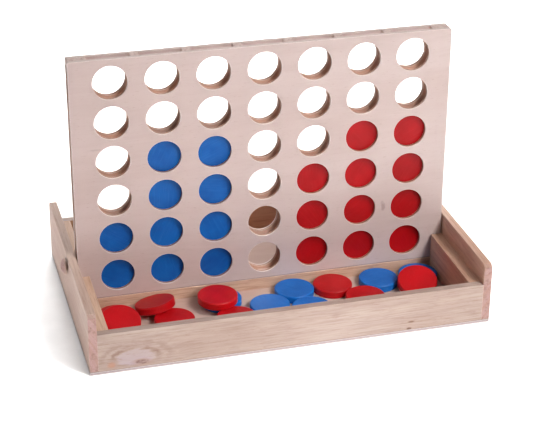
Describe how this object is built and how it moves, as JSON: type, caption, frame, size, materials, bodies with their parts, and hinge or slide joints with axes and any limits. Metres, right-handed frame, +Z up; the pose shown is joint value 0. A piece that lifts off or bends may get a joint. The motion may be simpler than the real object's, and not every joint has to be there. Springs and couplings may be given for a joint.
{
  "type": "four in a row game",
  "caption": "Wooden four in a row game: an upright slotted board with round view holes, standing in a shallow storage box, with red and blue discs.",
  "frame": {"origin": "on the surface the box stands on, under the middle of the box", "axes": "+Z up, +X along the board from its first column to its last, -Y towards the player"},
  "size_m": [0.353, 0.214, 0.2294],
  "materials": {
    "box_wood": "fine sanded light rubberwood with open grain, clear matt lacquer",
    "board_wood": "smooth pale plywood panels with a faint grain, clear matt lacquer",
    "base_plywood": "thin pale plywood sheet with layered edges",
    "blue_paint": "satin blue paint on turned wood",
    "red_paint": "satin red paint on turned wood"
  },
  "bodies": {
    "box": {"bottom_panel": "base_plywood", "front_wall": "box_wood", "back_wall": "box_wood", "left_wall": "box_wood", "right_wall": "box_wood", "front_left_cleat": "box_wood", "front_right_cleat": "box_wood", "rear_left_cleat": "box_wood", "rear_right_cleat": "box_wood", "cross_rail": "box_wood", "pivot_pins": "box_wood"},
    "board": {"front_panel": "board_wood", "back_panel": "board_wood", "left_stile": "board_wood", "right_stile": "board_wood", "bottom_strip": "board_wood", "divider_1": "board_wood", "divider_2": "board_wood", "divider_3": "board_wood", "divider_4": "board_wood", "divider_5": "board_wood", "divider_6": "board_wood"},
    "column_1_disc_1": {"column_1_disc_1": "blue_paint"},
    "column_1_disc_2": {"column_1_disc_2": "blue_paint"},
    "column_2_disc_1": {"column_2_disc_1": "blue_paint"},
    "column_2_disc_2": {"column_2_disc_2": "blue_paint"},
    "column_2_disc_3": {"column_2_disc_3": "blue_paint"},
    "column_2_disc_4": {"column_2_disc_4": "blue_paint"},
    "column_3_disc_1": {"column_3_disc_1": "blue_paint"},
    "column_3_disc_2": {"column_3_disc_2": "blue_paint"},
    "column_3_disc_3": {"column_3_disc_3": "blue_paint"},
    "column_3_disc_4": {"column_3_disc_4": "blue_paint"},
    "column_5_disc_1": {"column_5_disc_1": "red_paint"},
    "column_5_disc_2": {"column_5_disc_2": "red_paint"},
    "column_5_disc_3": {"column_5_disc_3": "red_paint"},
    "column_6_disc_1": {"column_6_disc_1": "red_paint"},
    "column_6_disc_2": {"column_6_disc_2": "red_paint"},
    "column_6_disc_3": {"column_6_disc_3": "red_paint"},
    "column_6_disc_4": {"column_6_disc_4": "red_paint"},
    "column_7_disc_1": {"column_7_disc_1": "red_paint"},
    "column_7_disc_2": {"column_7_disc_2": "red_paint"},
    "column_7_disc_3": {"column_7_disc_3": "red_paint"},
    "column_7_disc_4": {"column_7_disc_4": "red_paint"},
    "tray_red_1": {"tray_red_1": "red_paint"},
    "tray_red_2": {"tray_red_2": "red_paint"},
    "tray_red_3": {"tray_red_3": "red_paint"},
    "tray_red_4": {"tray_red_4": "red_paint"},
    "tray_red_5": {"tray_red_5": "red_paint"},
    "tray_blue_1": {"tray_blue_1": "blue_paint"},
    "tray_blue_2": {"tray_blue_2": "blue_paint"},
    "tray_blue_3": {"tray_blue_3": "blue_paint"},
    "tray_blue_4": {"tray_blue_4": "blue_paint"},
    "tray_blue_5": {"tray_blue_5": "blue_paint"},
    "tray_blue_6": {"tray_blue_6": "blue_paint"},
    "leaning_red_1": {"leaning_red_1": "red_paint"},
    "leaning_red_2": {"leaning_red_2": "red_paint"},
    "leaning_red_3": {"leaning_red_3": "red_paint"},
    "stacked_red": {"stacked_red": "red_paint"},
    "spare_blue_discs": {"spare_blue_discs": "blue_paint"},
    "spare_red_disc": {"spare_red_disc": "red_paint"}
  },
  "joints": [
    {"name": "board_lift", "type": "slide", "parent": "box", "child": "board", "axis": [0, 0, 1], "range_m": [0, 0.024]},
    {"name": "column_1_disc_1_lift", "type": "slide", "parent": "board", "child": "column_1_disc_1", "axis": [0, 0, 1], "range_m": [0, 0.218]},
    {"name": "column_1_disc_2_lift", "type": "slide", "parent": "column_1_disc_1", "child": "column_1_disc_2", "axis": [0, 0, 1], "range_m": [0, 0.183]},
    {"name": "column_2_disc_1_lift", "type": "slide", "parent": "board", "child": "column_2_disc_1", "axis": [0, 0, 1], "range_m": [0, 0.218]},
    {"name": "column_2_disc_2_lift", "type": "slide", "parent": "column_2_disc_1", "child": "column_2_disc_2", "axis": [0, 0, 1], "range_m": [0, 0.183]},
    {"name": "column_2_disc_3_lift", "type": "slide", "parent": "column_2_disc_2", "child": "column_2_disc_3", "axis": [0, 0, 1], "range_m": [0, 0.148]},
    {"name": "column_2_disc_4_lift", "type": "slide", "parent": "column_2_disc_3", "child": "column_2_disc_4", "axis": [0, 0, 1], "range_m": [0, 0.113]},
    {"name": "column_3_disc_1_lift", "type": "slide", "parent": "board", "child": "column_3_disc_1", "axis": [0, 0, 1], "range_m": [0, 0.218]},
    {"name": "column_3_disc_2_lift", "type": "slide", "parent": "column_3_disc_1", "child": "column_3_disc_2", "axis": [0, 0, 1], "range_m": [0, 0.183]},
    {"name": "column_3_disc_3_lift", "type": "slide", "parent": "column_3_disc_2", "child": "column_3_disc_3", "axis": [0, 0, 1], "range_m": [0, 0.148]},
    {"name": "column_3_disc_4_lift", "type": "slide", "parent": "column_3_disc_3", "child": "column_3_disc_4", "axis": [0, 0, 1], "range_m": [0, 0.113]},
    {"name": "column_5_disc_1_lift", "type": "slide", "parent": "board", "child": "column_5_disc_1", "axis": [0, 0, 1], "range_m": [0, 0.218]},
    {"name": "column_5_disc_2_lift", "type": "slide", "parent": "column_5_disc_1", "child": "column_5_disc_2", "axis": [0, 0, 1], "range_m": [0, 0.183]},
    {"name": "column_5_disc_3_lift", "type": "slide", "parent": "column_5_disc_2", "child": "column_5_disc_3", "axis": [0, 0, 1], "range_m": [0, 0.148]},
    {"name": "column_6_disc_1_lift", "type": "slide", "parent": "board", "child": "column_6_disc_1", "axis": [0, 0, 1], "range_m": [0, 0.218]},
    {"name": "column_6_disc_2_lift", "type": "slide", "parent": "column_6_disc_1", "child": "column_6_disc_2", "axis": [0, 0, 1], "range_m": [0, 0.183]},
    {"name": "column_6_disc_3_lift", "type": "slide", "parent": "column_6_disc_2", "child": "column_6_disc_3", "axis": [0, 0, 1], "range_m": [0, 0.148]},
    {"name": "column_6_disc_4_lift", "type": "slide", "parent": "column_6_disc_3", "child": "column_6_disc_4", "axis": [0, 0, 1], "range_m": [0, 0.113]},
    {"name": "column_7_disc_1_lift", "type": "slide", "parent": "board", "child": "column_7_disc_1", "axis": [0, 0, 1], "range_m": [0, 0.218]},
    {"name": "column_7_disc_2_lift", "type": "slide", "parent": "column_7_disc_1", "child": "column_7_disc_2", "axis": [0, 0, 1], "range_m": [0, 0.183]},
    {"name": "column_7_disc_3_lift", "type": "slide", "parent": "column_7_disc_2", "child": "column_7_disc_3", "axis": [0, 0, 1], "range_m": [0, 0.148]},
    {"name": "column_7_disc_4_lift", "type": "slide", "parent": "column_7_disc_3", "child": "column_7_disc_4", "axis": [0, 0, 1], "range_m": [0, 0.113]},
    {"name": "tray_red_1_lift", "type": "slide", "parent": "box", "child": "tray_red_1", "axis": [0, 0, 1], "range_m": [0, 0.06]},
    {"name": "tray_red_2_lift", "type": "slide", "parent": "box", "child": "tray_red_2", "axis": [0, 0, 1], "range_m": [0, 0.06]},
    {"name": "tray_red_3_slide", "type": "slide", "parent": "box", "child": "tray_red_3", "axis": [0, -1, 0], "range_m": [0, 0.02]},
    {"name": "tray_red_4_lift", "type": "slide", "parent": "box", "child": "tray_red_4", "axis": [0, 0, 1], "range_m": [0, 0.06]},
    {"name": "tray_red_5_lift", "type": "slide", "parent": "box", "child": "tray_red_5", "axis": [0, 0, 1], "range_m": [0, 0.06]},
    {"name": "tray_blue_1_lift", "type": "slide", "parent": "box", "child": "tray_blue_1", "axis": [0, 0, 1], "range_m": [0, 0.06]},
    {"name": "tray_blue_2_lift", "type": "slide", "parent": "box", "child": "tray_blue_2", "axis": [0, 0, 1], "range_m": [0, 0.06]},
    {"name": "tray_blue_3_lift", "type": "slide", "parent": "box", "child": "tray_blue_3", "axis": [0, 0, 1], "range_m": [0, 0.06]},
    {"name": "tray_blue_4_lift", "type": "slide", "parent": "box", "child": "tray_blue_4", "axis": [0, 0, 1], "range_m": [0, 0.06]},
    {"name": "tray_blue_5_lift", "type": "slide", "parent": "box", "child": "tray_blue_5", "axis": [0, 0, 1], "range_m": [0, 0.06]},
    {"name": "tray_blue_6_lift", "type": "slide", "parent": "box", "child": "tray_blue_6", "axis": [0, 0, 1], "range_m": [0, 0.06]},
    {"name": "leaning_red_1_lift", "type": "slide", "parent": "tray_red_1", "child": "leaning_red_1", "axis": [0, 0, 1], "range_m": [0, 0.06]},
    {"name": "leaning_red_2_lift", "type": "slide", "parent": "tray_red_2", "child": "leaning_red_2", "axis": [0, 0, 1], "range_m": [0, 0.06]},
    {"name": "leaning_red_3_lift", "type": "slide", "parent": "tray_blue_6", "child": "leaning_red_3", "axis": [0, 0, 1], "range_m": [0, 0.06]},
    {"name": "stacked_red_lift", "type": "slide", "parent": "tray_blue_1", "child": "stacked_red", "axis": [0, 0, 1], "range_m": [0, 0.06]},
    {"name": "spare_blue_discs_lift", "type": "slide", "parent": "box", "child": "spare_blue_discs", "axis": [0, 0, 1], "range_m": [0, 0.06]},
    {"name": "spare_red_disc_lift", "type": "slide", "parent": "box", "child": "spare_red_disc", "axis": [0, 0, 1], "range_m": [0, 0.06]}
  ]
}
